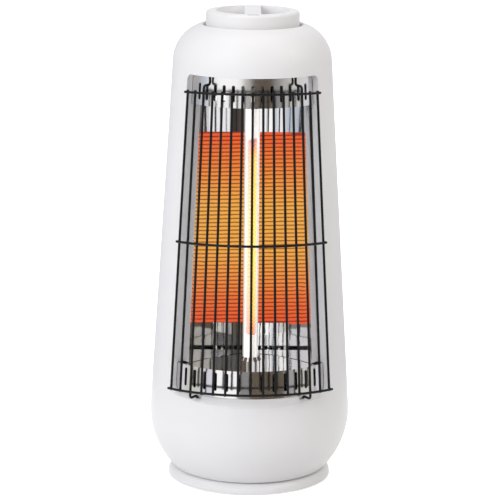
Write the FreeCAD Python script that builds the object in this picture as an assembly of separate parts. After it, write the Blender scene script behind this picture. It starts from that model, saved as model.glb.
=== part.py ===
import FreeCAD, Part
import math
import os

# Compact carbon lamp heater on a round swinging base.
# Millimetres, +Z up, front towards -Y, origin on the floor at the centre of the base.

# Fits shared by the whole assembly
fit_gap = 0.3
run_gap = 0.05
overrun = 1.0

# Swing base
base_flare = 4.4
base_h = 10.8
base_edge_round = 8.6
base_wall = 2.5
skirt_lift = 1.0
plateau_inset = 13.6
plateau_rise = 13.2
foot_r = 7.0
foot_h = 1.8
foot_peg_r = 2.5
foot_inset = 18.0
foot_count = 4
plate_t = 1.2
ballast_gap = 1.5
ballast_w = 15.5
ballast_h = 6.0
base_boss_count = 4
base_boss_turn_angle = 45.0
base_boss_ring_r = 35.0
base_boss_r = 4.0
base_screw_r = 1.5
base_screw_head_r = 3.0
base_screw_head_h = 0.8
base_screw_length = 9.0
stop_pin_r = 3.0
stop_pin_ring_r = 45.0
stop_pin_gap = 0.5
gland_r = 3.4
gland_bore_r = 2.5
gland_collar_r = 4.2
gland_collar_t = 1.5
gland_length = 9.0

# Tip-over switch in the base
tip_x = -34.0
tip_box_w = 20.0
tip_box_d = 11.0
tip_box_h = 14.0
tip_floor_t = 1.2
plunger_r = 3.0
plunger_collar_r = 4.2
plunger_collar_t = 1.5
plunger_length = 11.0
plunger_lift = 0.15
plunger_travel = 3.0

# Swing bearing and drive
swing_half_angle = 35.0
post_r = 12.0
post_bore_r = 8.0
post_flange_r = 24.0
post_flange_t = 2.5
washer_t = 0.8
hub_r = 18.0
hub_length = 6.15
swivel_skin_gap = 2.7
swivel_t = 3.0
gear_module = 1.25
sun_teeth = 48
pinion_teeth = 12
pressure_angle = 20.0
addendum_share = 0.75
dedendum_share = 1.0
gear_backlash = 0.1
gear_t = 7.0
pinion_side_gap = 0.5
retainer_t = 1.5
retainer_r = 17.0
motor_r = 25.0
motor_h = 18.0
motor_lift = 0.7
motor_nose_r = 6.0
motor_nose_h = 1.5
motor_shaft_r = 3.5
motor_shaft_depth = 12.0
motor_ear_reach = 29.5
motor_ear_w = 9.0
motor_ear_t = 1.0
motor_ear_hole_r = 1.8
motor_pillar_r = 4.0
motor_pilot_r = 1.3

# Housing skin, a tall vase in two half shells
foot_gap = 1.2
belly_r = 103.0
foot_tuck = 23.4
belly_rise = 64.0
taper_height = 360.0
shoulder_r = 80.5
shoulder_rise = 35.3
neck_r = 52.0
well_lip = 2.0
skin_wall = 2.5
boss_r = 5.5
boss_length = 14.0
boss_bite = 1.5
screw_hole_r = 1.8
screw_pilot_r = 1.4
screw_head_r = 3.2
screw_head_h = 2.2
screw_head_gap = 0.6
screw_seat_t = 6.0
screw_length = 16.0
boss_height_shares = (0.022, 0.48, 0.955)
rib_t = 2.5
front_rib_angles = (35.0, 65.0)
rear_rib_angles = (115.0, 145.0)
rib_overlap = 5.0
rib_height = 6.0
seam_w = 0.7
seam_depth = 0.7
vent_count = 9
vent_w = 4.0
vent_pitch_angle = 6.5
vent_length = 44.0
vent_height_shares = (0.17, 0.8)

# Window and its moulded frame
sill_rise = 28.3
head_drop = 9.3
window_half_angle = 53.0
window_corner = 6.0
frame_depth = 6.7
frame_wall = 2.2
jamb_depth = 12.0
sill_drop = 5.8
sill_tilt_angle = 8.0

# Polished sheet parts round the lamp
sheet_t = 0.6
band_half_angle = 59.0
band_tuck = 6.3
lower_band_show = 28.1
upper_band_show = 30.3
band_slot_count = 13
band_slot_pitch_angle = 7.4
band_slot_w = 3.4
lower_slot_length = 18.6
upper_slot_length = 16.6
lower_slot_rise = 6.7
upper_slot_drop = 8.1
focal_length = 24.0
parabola_span_count = 6
reflector_wing_angle = 62.0
wing_root_angle = 44.0
lamp_hole_r = 9.0
cap_tab_w = 30.0

# Lamp
lamp_y = -44.0
tube_r = 7.7
tube_wall = 1.0
tube_overhang = 18.0
coil_r = 4.2
coil_wire = 1.8
coil_turn_count = 48
coil_step_count = 24
coil_low_margin = 30.6
coil_high_margin = 37.9
coil_bend = 2.0
coil_lead = 2.0
core_r = 6.3
pin_r = 1.2
ceramic_r = 10.0
ceramic_flange_r = 12.5
ceramic_flange_t = 3.0
ceramic_grip = 10.0
ceramic_tail = 8.0

# Mast and brackets behind the reflector
mast_setback = 54.0
mast_w = 44.0
mast_t = 1.2
bracket_w = 30.0
bracket_t = 1.2
bracket_tab_h = 14.0
cutoff_r = 8.0
cutoff_h = 6.0
cutoff_flange_w = 24.0
cutoff_flange_t = 1.0
cutoff_drop = 60.0
terminal_w = 36.0
terminal_d = 14.0
terminal_h = 13.0
terminal_setback = 23.3
terminal_gap = 9.0
terminal_way_count = 3
terminal_hole_r = 2.2

# Decks held in the ribs of the housing
tray_rise = 51.0
tray_t = 2.0
tray_skin_gap = 3.0
tray_hole_r = 10.0
deck_drop = 17.3
deck_t = 3.0
deck_skin_gap = 3.6

# Wire guard
wire_r = 1.25
guard_low_reach = 9.0
guard_high_reach = 6.3
guard_wire_count = 15
guard_pitch_angle = 6.65
guard_weld = 0.35
rail_overhang_angle = 1.2
wire_tail = 2.0
upper_rail_drop = 14.2
lower_rail_rise = 8.7
hook_wire_index = 5
hook_rise = 7.0
hook_bend_r = 3.0
hook_tail = 3.8
hook_slot_w = 10.0
hook_slot_gap = 0.35

# Dial and rotary switch on the top
dial_gap = 2.6
dial_proud = 13.7
dial_edge_round = 3.0
dial_lift = 2.3
dial_rim_w = 10.0
dial_bar_w = 16.5
dial_recess_depth = 9.0
dial_wall = 2.5
dial_hub_r = 8.0
pointer_w = 11.0
pointer_d = 3.0
pointer_h = 0.6
pointer_sink = 0.5
pointer_setback = 1.6
switch_w = 28.0
switch_h = 18.0
switch_bush_r = 5.0
switch_bush_h = 4.0
switch_nut_corner_count = 6
switch_nut_flat = 12.0
switch_nut_t = 2.5
switch_shaft_r = 3.0
switch_shaft_top = 16.5
switch_shaft_depth = 14.0

# Heights and places worked out from the sizes above
foot_edge_r = belly_r - foot_tuck
base_r = foot_edge_r + base_flare
plateau_r = foot_edge_r - plateau_inset
well_r = neck_r - well_lip
dial_r = well_r - dial_gap
plate_z = foot_h + plate_t
plateau_z = base_h + plateau_rise
swivel_z0 = plateau_z + washer_t + run_gap
swivel_z1 = swivel_z0 + swivel_t
hub_z1 = swivel_z0 + hub_length
sun_z0 = hub_z1 + run_gap + washer_t
sun_z1 = sun_z0 + gear_t
post_z1 = sun_z1 + retainer_t
motor_z0 = post_z1 + motor_lift
drive_centre = gear_module * (sun_teeth + pinion_teeth) / 2
skin_z0 = base_h + foot_gap
belly_z = skin_z0 + belly_rise
shoulder_z = belly_z + taper_height
neck_z = shoulder_z + shoulder_rise
tray_z0 = skin_z0 + tray_rise
tray_z1 = tray_z0 + tray_t
deck_z0 = neck_z - deck_drop
deck_z1 = deck_z0 + deck_t
window_z0 = belly_z + sill_rise
window_z1 = shoulder_z - head_drop
hearth_z0 = window_z0 + lower_band_show
hearth_z1 = window_z1 - upper_band_show
band_inset = frame_depth + fit_gap
wing_inset = jamb_depth + fit_gap
vertex_y = lamp_y + focal_length
mast_y = vertex_y + mast_setback
tube_z0 = hearth_z0 - tube_overhang
tube_z1 = hearth_z1 + tube_overhang
coil_z0 = hearth_z0 + coil_low_margin
coil_z1 = hearth_z1 - coil_high_margin
core_low_z = coil_z0 - coil_bend - coil_lead
core_high_z = coil_z1 + coil_bend + coil_lead
dial_z0 = deck_z1 + dial_lift
dial_z1 = neck_z + dial_proud
hub_dial_z0 = deck_z1 + switch_bush_h + fit_gap
wire_d = 2 * wire_r
hook_inset = skin_wall + wire_r + hook_slot_gap
far = 2 * belly_r

Vector = FreeCAD.Vector
ORIGIN = Vector(0, 0, 0)
UP = Vector(0, 0, 1)
BACK = Vector(0, 1, 0)


def skin_r(z):
    """Outer radius of the straight taper at height z."""
    return belly_r + (shoulder_r - belly_r) * (z - belly_z) / taper_height


def polar(r, angle, z):
    """Point at an angle from the front, positive towards +X."""
    a = math.radians(angle)
    return Vector(r * math.sin(a), -r * math.cos(a), z)


def turned(shape, angle):
    """Copy turned about the upright axis, so that what faces front faces the angle."""
    return shape.copy().rotate(ORIGIN, UP, angle)


def rod(r, z0, z1, x=0, y=0):
    return Part.makeCylinder(r, z1 - z0, Vector(x, y, z0))


def rod_y(r, y0, y1, x, z):
    return Part.makeCylinder(r, y1 - y0, Vector(x, y0, z), BACK)


def rod_between(p, q, r):
    return Part.makeCylinder(r, (q - p).Length, p, q - p)


def ring(r_out, r_in, z0, z1, x=0, y=0):
    return rod(r_out, z0, z1, x, y).cut(rod(r_in, z0, z1, x, y))


def block(x0, x1, y0, y1, z0, z1):
    return Part.makeBox(x1 - x0, y1 - y0, z1 - z0, Vector(x0, y0, z0))


def taper_solid(offset, z0, z1):
    """Solid frustum that follows the housing's taper at a radial offset."""
    return Part.makeCone(skin_r(z0) + offset, skin_r(z1) + offset, z1 - z0, Vector(0, 0, z0))


def taper_ring(offset_out, offset_in, z0, z1):
    return taper_solid(offset_out, z0, z1).cut(taper_solid(offset_in, z0, z1))


def sector(r_in, r_out, z0, z1, angle0, angle1):
    """Solid sector between two angles measured from the front."""
    corners = [polar(r_in, angle0, z0), polar(r_out, angle0, z0)]
    corners += [polar(r_out, angle0, z1), polar(r_in, angle0, z1)]
    face = Part.Face(Part.makePolygon(corners + corners[:1]))
    return face.revolve(ORIGIN, UP, angle1 - angle0)


def mirrored(shape):
    return shape.mirror(ORIGIN, Vector(1, 0, 0))


def fused(shapes):
    return shapes[0].multiFuse(shapes[1:]).removeSplitter()


def tangent_centre(p, tangent, q):
    """Centre of the circle through p and q that runs along the tangent at p, in the X-Z plane."""
    normal = Vector(tangent.z, 0, -tangent.x)
    chord = q - p
    reach = chord.dot(chord) / (2 * normal.dot(chord))
    return p + normal * reach


def arc_about(centre, p, q):
    """Arc of under a half circle from p to q about the centre."""
    middle = (p - centre) + (q - centre)
    middle.normalize()
    return Part.Arc(p, centre + middle * (p - centre).Length, q).toShape()


def line(p, q):
    return Part.LineSegment(p, q).toShape()


def revolved(edges, angle):
    return Part.Face(Part.Wire(Part.__sortEdges__(edges))).revolve(ORIGIN, UP, angle)


def on_circle(centre, r, x):
    """Upper point of a circle in the X-Z plane at a given X."""
    return Vector(x, 0, centre.z + math.sqrt(r * r - (x - centre.x) ** 2))


def taper_direction():
    along = Vector(shoulder_r - belly_r, 0, taper_height)
    return along.normalize()


def belly_arc():
    """Centre and outer radius of the housing's arc from the foot edge to the belly."""
    belly = Vector(belly_r, 0, belly_z)
    centre = tangent_centre(belly, taper_direction(), Vector(foot_edge_r, 0, skin_z0))
    return centre, (belly - centre).Length


def shoulder_arc():
    """Centre and outer radius of the housing's arc from the shoulder to the neck."""
    shoulder = Vector(shoulder_r, 0, shoulder_z)
    centre = tangent_centre(shoulder, taper_direction(), Vector(neck_r, 0, neck_z))
    return centre, (shoulder - centre).Length


def arc_reach(arc, inset, z):
    """Radius of the housing at height z, on one of its arcs moved in by an inset."""
    centre, r = arc
    return centre.x + math.sqrt((r - inset) ** 2 - (z - centre.z) ** 2)


def swivel_r():
    return arc_reach(belly_arc(), skin_wall, swivel_z0) - swivel_skin_gap


def tray_r():
    return arc_reach(belly_arc(), skin_wall, tray_z0) - tray_skin_gap


def deck_r():
    return arc_reach(shoulder_arc(), skin_wall, deck_z1) - deck_skin_gap


# Base parts


def base_shell():
    """Moulded foot disc with a hidden plateau that carries the swing bearing."""
    top_in = Vector(plateau_r, 0, base_h)
    top_out = Vector(base_r - base_edge_round, 0, base_h)
    side = Vector(base_r, 0, base_h - base_edge_round)
    round_centre = Vector(top_out.x, 0, side.z)
    skirt = Vector(base_r, 0, skirt_lift)
    inner_r = base_r - base_wall
    under_z = plate_z
    edges = [
        line(Vector(post_r + fit_gap, 0, plateau_z), Vector(plateau_r, 0, plateau_z)),
        line(Vector(plateau_r, 0, plateau_z), top_in),
        line(top_in, top_out),
        arc_about(round_centre, top_out, side),
        line(side, skirt),
        line(skirt, Vector(inner_r, 0, skirt_lift)),
        line(Vector(inner_r, 0, skirt_lift), Vector(inner_r, 0, under_z)),
    ]
    inside = [
        Vector(inner_r, 0, under_z),
        Vector(top_out.x, 0, base_h - base_wall),
        Vector(plateau_r - base_wall, 0, base_h - base_wall),
        Vector(plateau_r - base_wall, 0, plateau_z - base_wall),
        Vector(post_r + fit_gap, 0, plateau_z - base_wall),
        Vector(post_r + fit_gap, 0, plateau_z),
    ]
    edges += [line(a, b) for a, b in zip(inside, inside[1:])]
    shell = revolved(edges, 360)
    pin = rod(stop_pin_r, plateau_z - base_wall, swivel_z1 + stop_pin_gap, 0, stop_pin_ring_r)
    bosses = [rod(base_boss_r, plate_z, plateau_z - base_wall, p.x, p.y) for p in base_boss_places()]
    shell = fused([shell, pin] + bosses)
    for p in base_boss_places():
        shell = shell.cut(rod(base_screw_r, plate_z, plate_z + base_screw_length, p.x, p.y))
    return shell.cut(rod_y(gland_r, base_r - gland_length, base_r + overrun, 0, gland_z()))


def gland_z():
    return plate_z + gland_r


def base_boss_places():
    step = 360 / base_boss_count
    return [polar(base_boss_ring_r, base_boss_turn_angle + step * i, 0) for i in range(base_boss_count)]


def foot_places():
    """A centre foot that also closes the wiring bore, and a ring of feet near the edge."""
    around = [polar(base_r - foot_inset, 360 * i / foot_count, 0) for i in range(foot_count)]
    return [ORIGIN] + around


def base_plate():
    """Pressed steel bottom plate with holes for the feet, screws and plunger."""
    plate = rod(base_r - base_wall - fit_gap, foot_h, plate_z)
    for p in foot_places():
        plate = plate.cut(rod(foot_peg_r + run_gap, foot_h, plate_z, p.x, p.y))
    for p in base_boss_places():
        plate = plate.cut(rod(base_screw_r, foot_h, plate_z, p.x, p.y))
    return plate.cut(rod(plunger_r + fit_gap, foot_h, plate_z, tip_x, 0))


def rubber_feet():
    """Round feet, each pushed into the bottom plate by its peg."""
    feet = []
    for p in foot_places():
        pad = rod(foot_r, 0, foot_h, p.x, p.y)
        feet.append(pad.fuse(rod(foot_peg_r, foot_h, plate_z, p.x, p.y)))
    return Part.makeCompound(feet)


def base_screws():
    """Pan head screws that hold the plate to the base shell."""
    screws = []
    for p in base_boss_places():
        head = rod(base_screw_head_r, foot_h - base_screw_head_h, foot_h, p.x, p.y)
        shank = rod(base_screw_r, foot_h, plate_z + base_screw_length, p.x, p.y)
        screws.append(head.fuse(shank))
    return Part.makeCompound(screws)


def ballast_ring():
    """Cast ring in the base, kept clear of the tip-over switch and the screw bosses."""
    z1 = plate_z + ballast_h
    r_out = plateau_r - base_wall - ballast_gap
    body = ring(r_out, r_out - ballast_w, plate_z, z1).cut(tip_case(ballast_gap))
    for p in base_boss_places():
        body = body.cut(rod(base_boss_r + ballast_gap, plate_z, z1, p.x, p.y))
    return body


def cord_gland():
    """Rubber bush for the supply lead in the back of the base."""
    y1 = base_r + gland_collar_t
    bush = rod_y(gland_r, base_r - gland_length + fit_gap, y1, 0, gland_z())
    collar = rod_y(gland_collar_r, base_r, y1, 0, gland_z())
    return bush.fuse(collar).cut(rod_y(gland_bore_r, 0, far, 0, gland_z()))


def pivot_post():
    """Hollow post that the heater turns on, with the wiring led up its bore."""
    post = rod(post_r, plate_z, post_z1)
    post = post.fuse(rod(post_flange_r, plate_z, plate_z + post_flange_t))
    return post.cut(rod(post_bore_r, plate_z, post_z1))


def thrust_washer(z0):
    return ring(hub_r, post_r + run_gap, z0, z0 + washer_t)


def retaining_ring():
    return ring(retainer_r, post_r + run_gap, sun_z1, post_z1)


def tip_case(grow):
    """Case of the tip-over switch, grown at its sides."""
    half_w = tip_box_w / 2 + grow
    half_d = tip_box_d / 2 + grow
    return block(tip_x - half_w, tip_x + half_w, -half_d, half_d, plate_z, plate_z + tip_box_h)


def tip_switch():
    """Tip-over switch that the plunger holds closed while the heater stands."""
    case = tip_case(0)
    guide = rod(plunger_r + run_gap, plate_z, plate_z + tip_floor_t, tip_x, 0)
    cavity_z1 = plunger_lift + plunger_length + fit_gap
    cavity = rod(plunger_collar_r + fit_gap, plate_z + tip_floor_t, cavity_z1, tip_x, 0)
    return case.cut(guide).cut(cavity)


def tip_plunger():
    z1 = plunger_lift + plunger_length
    collar_z0 = plate_z + tip_floor_t + plunger_travel + fit_gap
    collar = rod(plunger_collar_r, collar_z0, collar_z0 + plunger_collar_t, tip_x, 0)
    return rod(plunger_r, plunger_lift, z1, tip_x, 0).fuse(collar)


# Swing drive


def involute_flank(base_circle_r, half_base_angle, r):
    """Polar angle of one flank at radius r, for a tooth centred on angle zero."""
    if r <= base_circle_r:
        return half_base_angle
    a = math.acos(base_circle_r / r)
    return half_base_angle - (math.tan(a) - a)


def gear_face(teeth, turn):
    """Outline of a spur gear with arc flanks through three involute points each."""
    pitch_r = gear_module * teeth / 2
    base_circle_r = pitch_r * math.cos(math.radians(pressure_angle))
    tip_r = pitch_r + gear_module * addendum_share
    root_r = pitch_r - gear_module * dedendum_share
    a = math.radians(pressure_angle)
    half = (math.pi * gear_module / 4 - gear_backlash) / pitch_r + math.tan(a) - a

    def at(r, angle):
        return Vector(r * math.cos(angle), r * math.sin(angle), 0)

    edges = []
    step = 2 * math.pi / teeth
    flank_r = max(root_r, base_circle_r)
    radii = (flank_r, (flank_r + tip_r) / 2, tip_r)
    spread = [involute_flank(base_circle_r, half, r) for r in radii]
    for i in range(teeth):
        mid = turn + i * step
        low = [at(r, mid - s) for r, s in zip(radii, spread)]
        high = [at(r, mid + s) for r, s in zip(radii, spread)]
        root_low = at(root_r, mid - spread[0])
        root_high = at(root_r, mid + spread[0])
        next_root = at(root_r, mid + step - spread[0])
        if (root_low - low[0]).Length > 0:
            edges.append(line(root_low, low[0]))
        edges.append(Part.Arc(low[0], low[1], low[2]).toShape())
        edges.append(Part.Arc(low[2], at(tip_r, mid), high[2]).toShape())
        edges.append(Part.Arc(high[2], high[1], high[0]).toShape())
        if (root_high - high[0]).Length > 0:
            edges.append(line(high[0], root_high))
        edges.append(Part.Arc(root_high, at(root_r, mid + step / 2), next_root).toShape())
    return Part.Face(Part.Wire(edges))


def sun_gear():
    """Fixed gear on the post, with a tooth facing front."""
    face = gear_face(sun_teeth, -math.pi / 2)
    gear = face.extrude(UP * gear_t).translate(UP * sun_z0)
    return gear.cut(rod(post_r + run_gap, sun_z0, sun_z1))


def drive_pinion():
    """Motor pinion that walks round the fixed gear, with a tooth space facing it."""
    space = math.pi / 2 + math.pi / pinion_teeth
    height = gear_t - 2 * pinion_side_gap
    gear = gear_face(pinion_teeth, space).extrude(UP * height)
    gear.translate(Vector(0, -drive_centre, sun_z0 + pinion_side_gap))
    return gear.cut(rod(motor_shaft_r, sun_z0, sun_z1, 0, -drive_centre))


def motor_shaft():
    z0 = sun_z0 + pinion_side_gap
    return rod(motor_shaft_r, z0, motor_z0 + motor_shaft_depth, 0, -drive_centre)


def swing_motor():
    """Synchronous gear motor, upside down on two pillars of the swivel plate."""
    z1 = motor_z0 + motor_h
    can = rod(motor_r, motor_z0, z1, 0, -drive_centre)
    nose = rod(motor_nose_r, motor_z0 - motor_nose_h, motor_z0, 0, -drive_centre)
    half_w = motor_ear_w / 2
    reach = motor_ear_reach
    ear_z1 = motor_z0 + motor_ear_t
    ear = block(-reach, reach, -drive_centre - half_w, -drive_centre + half_w, motor_z0, ear_z1)
    shapes = [can, nose, ear]
    for x in (-reach, reach):
        shapes.append(rod(half_w, motor_z0, ear_z1, x, -drive_centre))
    motor = fused(shapes)
    for x in (-reach, reach):
        motor = motor.cut(rod(motor_ear_hole_r, motor_z0, ear_z1, x, -drive_centre))
    depth = motor_z0 + motor_shaft_depth + fit_gap
    return motor.cut(rod(motor_shaft_r + run_gap, motor_z0 - motor_nose_h, depth, 0, -drive_centre))


def swivel_plate():
    """Turning plate under the heater, with hub, stop slot and motor pillars."""
    plate = rod(swivel_r(), swivel_z0, swivel_z1).fuse(rod(hub_r, swivel_z0, hub_z1))
    shapes = [plate]
    for x in (-motor_ear_reach, motor_ear_reach):
        shapes.append(rod(motor_pillar_r, swivel_z0, motor_z0, x, -drive_centre))
    plate = fused(shapes)
    for x in (-motor_ear_reach, motor_ear_reach):
        plate = plate.cut(rod(motor_pilot_r, swivel_z1, motor_z0, x, -drive_centre))
    half_w = stop_pin_r + stop_pin_gap
    r_in = stop_pin_ring_r - half_w
    r_out = stop_pin_ring_r + half_w
    arc = sector(r_in, r_out, swivel_z0, swivel_z1, 180 - swing_half_angle, 180 + swing_half_angle)
    ends = []
    for side in (-1, 1):
        p = polar(stop_pin_ring_r, 180 + side * swing_half_angle, 0)
        ends.append(rod(half_w, swivel_z0, swivel_z1, p.x, p.y))
    return plate.cut(fused([arc] + ends)).cut(rod(post_r + run_gap, swivel_z0, hub_z1))


# Housing


def skin_line(inset, neck_x):
    """Belly arc, straight taper and shoulder arc of the housing's face, moved in by an inset."""
    along = taper_direction()
    inward = Vector(-along.z, 0, along.x) * inset
    low, low_r = belly_arc()
    high, high_r = shoulder_arc()
    foot = Vector(arc_reach((low, low_r), inset, skin_z0), 0, skin_z0)
    belly = Vector(belly_r, 0, belly_z) + inward
    shoulder = Vector(shoulder_r, 0, shoulder_z) + inward
    neck = on_circle(high, high_r - inset, neck_x)
    edges = [arc_about(low, foot, belly), line(belly, shoulder), arc_about(high, shoulder, neck)]
    return edges, foot, neck


def skin_profile():
    """Edges of the shell wall from the foot edge to the dial well."""
    well_out = well_r + skin_wall
    outer, foot, neck = skin_line(0, neck_r)
    inner, foot_in, neck_in = skin_line(skin_wall, well_out)
    collar_z = deck_z1 + dial_lift
    lip_z = neck_z - well_lip
    well = [
        Vector(well_r, 0, lip_z),
        Vector(well_r, 0, collar_z),
        Vector(well_out, 0, collar_z),
        neck_in,
    ]
    edges = outer + inner + [line(foot_in, foot)]
    edges.append(arc_about(Vector(neck_r, 0, lip_z), neck, well[0]))
    edges += [line(p, q) for p, q in zip(well, well[1:])]
    return edges


def filled_skin(inset, angle):
    """Solid inside the housing's face moved in by an inset, turned through an angle."""
    outline, foot, neck = skin_line(inset, neck_r)
    low = Vector(0, 0, foot.z)
    high = Vector(0, 0, neck.z)
    return revolved(outline + [line(foot, low), line(low, high), line(high, neck)], angle)


def slot_rib(angle, tip_r, edge_r, z0, z1):
    """Upright rib with a slot that takes the edge of a deck."""
    rib = block(-rib_t / 2, rib_t / 2, -far, -tip_r, z0 - rib_height, z1 + rib_height)
    slot = rod(edge_r + fit_gap, z0 - run_gap, z1 + run_gap)
    return turned(rib.cut(slot), angle)


def deck_ribs(angles):
    """Ribs at both signs of each angle, for the swivel plate, the tray and the control deck."""
    ribs = []
    decks = [(swivel_r(), swivel_z0, swivel_z1), (tray_r(), tray_z0, tray_z1), (deck_r(), deck_z0, deck_z1)]
    for edge_r, z0, z1 in decks:
        for angle in angles:
            rib = slot_rib(angle, edge_r - rib_overlap, edge_r, z0, z1)
            ribs += [rib, mirrored(rib)]
    return ribs


def boss_places():
    """Screw centres on both sides of the housing, at the heights of the boss shares."""
    places = []
    for share in boss_height_shares:
        z = belly_z + taper_height * share
        x = skin_r(z) - skin_wall - boss_r + boss_bite
        places += [(-x, z), (x, z)]
    return places


def window_tool(grow, r_in):
    """Rounded window sector, grown outwards by a wall."""
    turn = math.degrees(grow / skin_r(window_z0))
    half = window_half_angle + turn
    tool = sector(r_in, far, window_z0 - grow, window_z1 + grow, -half, half)
    corners = []
    for e in tool.Edges:
        level = abs(e.Vertexes[0].Z - e.Vertexes[-1].Z) < fit_gap
        if level and e.Curve.TypeId == "Part::GeomLine":
            corners.append(e)
    return tool.makeFillet(window_corner + grow, corners)


def sill_block():
    """Solid sill under the window, before its slope is cut."""
    z0 = window_z0 - sill_drop - frame_wall
    wall = taper_ring(-skin_wall / 2, -frame_depth, z0, window_z0)
    return wall.common(sector(0, far, z0, window_z0, -window_half_angle, window_half_angle))


def sill_slope():
    """Space over the sloping sill, tilted so that the slope dies out towards both sides."""
    root_r = skin_r(window_z0) - frame_depth
    reach = sill_drop * (far - root_r) / (skin_r(window_z0 - sill_drop) - root_r)
    places = ((root_r, window_z0), (far, window_z0 + reach), (far, window_z0 - reach))
    corners = [polar(r, -window_half_angle, z) for r, z in places]
    space = Part.Face(Part.makePolygon(corners + corners[:1])).revolve(ORIGIN, UP, 2 * window_half_angle)
    return space.rotate(Vector(0, -root_r, window_z0), Vector(1, 0, 0), sill_tilt_angle)


def front_housing():
    """Front half shell with the framed window, hook slots, ribs and screw bosses."""
    room = filled_skin(0, -180)
    shell = revolved(skin_profile(), -180)
    inner_r = skin_r(window_z1) / 2
    frame = window_tool(frame_wall, inner_r)
    rim_z0 = window_z0 - frame_wall
    rim_z1 = window_z1 + frame_wall
    rim = frame.common(taper_ring(-skin_wall / 2, -frame_depth, rim_z0, rim_z1))
    jamb_z0 = hearth_z0 + fit_gap
    jamb_z1 = hearth_z1 - fit_gap
    jamb = frame.common(taper_ring(-skin_wall / 2, -jamb_depth, jamb_z0, jamb_z1))
    bosses = [rod_y(boss_r, -boss_length, 0, x, z) for x, z in boss_places()]
    inside = [piece.common(room) for piece in deck_ribs(front_rib_angles) + bosses]
    shell = fused([shell, rim, jamb, sill_block()] + inside)
    shell = shell.cut(window_tool(0, inner_r)).cut(sill_slope())
    for x, z in boss_places():
        shell = shell.cut(rod_y(screw_pilot_r, screw_seat_t - screw_length, 0, x, z))
    for slot in hook_slots():
        shell = shell.cut(slot)
    return shell


def hook_slots():
    """Slots in the sill and head of the window for the four guard hooks."""
    slots = []
    half_d = wire_r + hook_slot_gap
    half_w = hook_slot_w / 2
    angle = hook_wire_index * guard_pitch_angle
    reach = frame_wall + overrun
    for z, z0, z1 in (
        (window_z0, window_z0 - sill_drop - reach, window_z0 + overrun),
        (window_z1, window_z1 - overrun, window_z1 + reach),
    ):
        r = skin_r(z) - hook_inset
        tool = block(-half_w, half_w, -r - half_d, -r + half_d, z0, z1)
        slots += [turned(tool, -angle), turned(tool, angle)]
    return slots


def vent_slots():
    """Two rows of upright air slots in the back of the housing."""
    tools = []
    for share in vent_height_shares:
        z = belly_z + taper_height * share
        slot = block(-vent_w / 2, vent_w / 2, -far, -mast_y, z - vent_length / 2, z + vent_length / 2)
        for i in range(vent_count):
            tools.append(turned(slot, 180 + (i - (vent_count - 1) / 2) * vent_pitch_angle))
    return tools


def seam_groove():
    """Shadow groove round the parting edge of the rear half."""
    slab = block(-far, far, 0, seam_w, skin_z0, neck_z)
    return slab.cut(filled_skin(seam_depth, 360))


def rear_housing():
    """Rear half shell with a seam groove, air slots, ribs and deep screw tunnels."""
    room = filled_skin(0, 180)
    shell = revolved(skin_profile(), 180)
    bosses = [rod_y(boss_r, 0, belly_r, x, z) for x, z in boss_places()]
    inside = [piece.common(room) for piece in deck_ribs(rear_rib_angles) + bosses]
    shell = fused([shell] + inside)
    for x, z in boss_places():
        shell = shell.cut(rod_y(screw_hole_r, 0, screw_seat_t, x, z))
        shell = shell.cut(rod_y(screw_head_r + screw_head_gap, screw_seat_t, belly_r, x, z))
    return shell.cut(seam_groove()).cut(Part.makeCompound(vent_slots()))


def housing_screws():
    """Screws that draw the rear half to the front half."""
    screws = []
    for x, z in boss_places():
        shank = rod_y(screw_pilot_r, screw_seat_t - screw_length, screw_seat_t, x, z)
        screws.append(shank.fuse(rod_y(screw_head_r, screw_seat_t, screw_seat_t + screw_head_h, x, z)))
    return Part.makeCompound(screws)


# Polished sheet parts


def parabola_point(x, offset):
    """Point of the parabola at x, moved out along its normal by the offset."""
    normal = Vector(x / (2 * focal_length), 1, 0)
    normal.normalize()
    return Vector(x, vertex_y - x * x / (4 * focal_length), 0) + normal * offset


def parabola_face(offset):
    """Plan area inside the reflector's parabola, grown by an offset, closed far in front."""
    reach = skin_r(hearth_z0)
    spans = range(-parabola_span_count, parabola_span_count + 1)
    points = [parabola_point(reach * i / parabola_span_count, offset) for i in spans]
    curve = Part.BSplineCurve()
    curve.interpolate(points)
    return Part.Face(Part.Wire([curve.toShape(), line(points[-1], points[0])]))


def parabola_solid(offset, z0, z1):
    return parabola_face(offset).extrude(UP * (z1 - z0)).translate(UP * z0)


def reflector():
    """Parabolic sheet reflector with side wings that lie behind the window jambs."""
    z0 = hearth_z0 + fit_gap
    z1 = hearth_z1 - fit_gap
    inside = parabola_solid(0, z0, z1)
    sheet = parabola_solid(sheet_t, z0, z1).cut(inside)
    sheet = sheet.common(taper_solid(-wing_inset, z0, z1))
    wall = taper_ring(-wing_inset, -wing_inset - sheet_t, z0, z1)
    wing = sector(0, far, z0, z1, wing_root_angle, reflector_wing_angle)
    wing = wall.common(wing).cut(inside)
    return fused([sheet, wing, mirrored(wing)])


def slot_tool(width, z0, z1):
    """Round-ended upright slot that faces front."""
    r = width / 2
    tool = block(-r, r, -far, 0, z0 + r, z1 - r)
    ends = [rod_y(r, -far, 0, 0, z) for z in (z0 + r, z1 - r)]
    return fused([tool] + ends)


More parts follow.
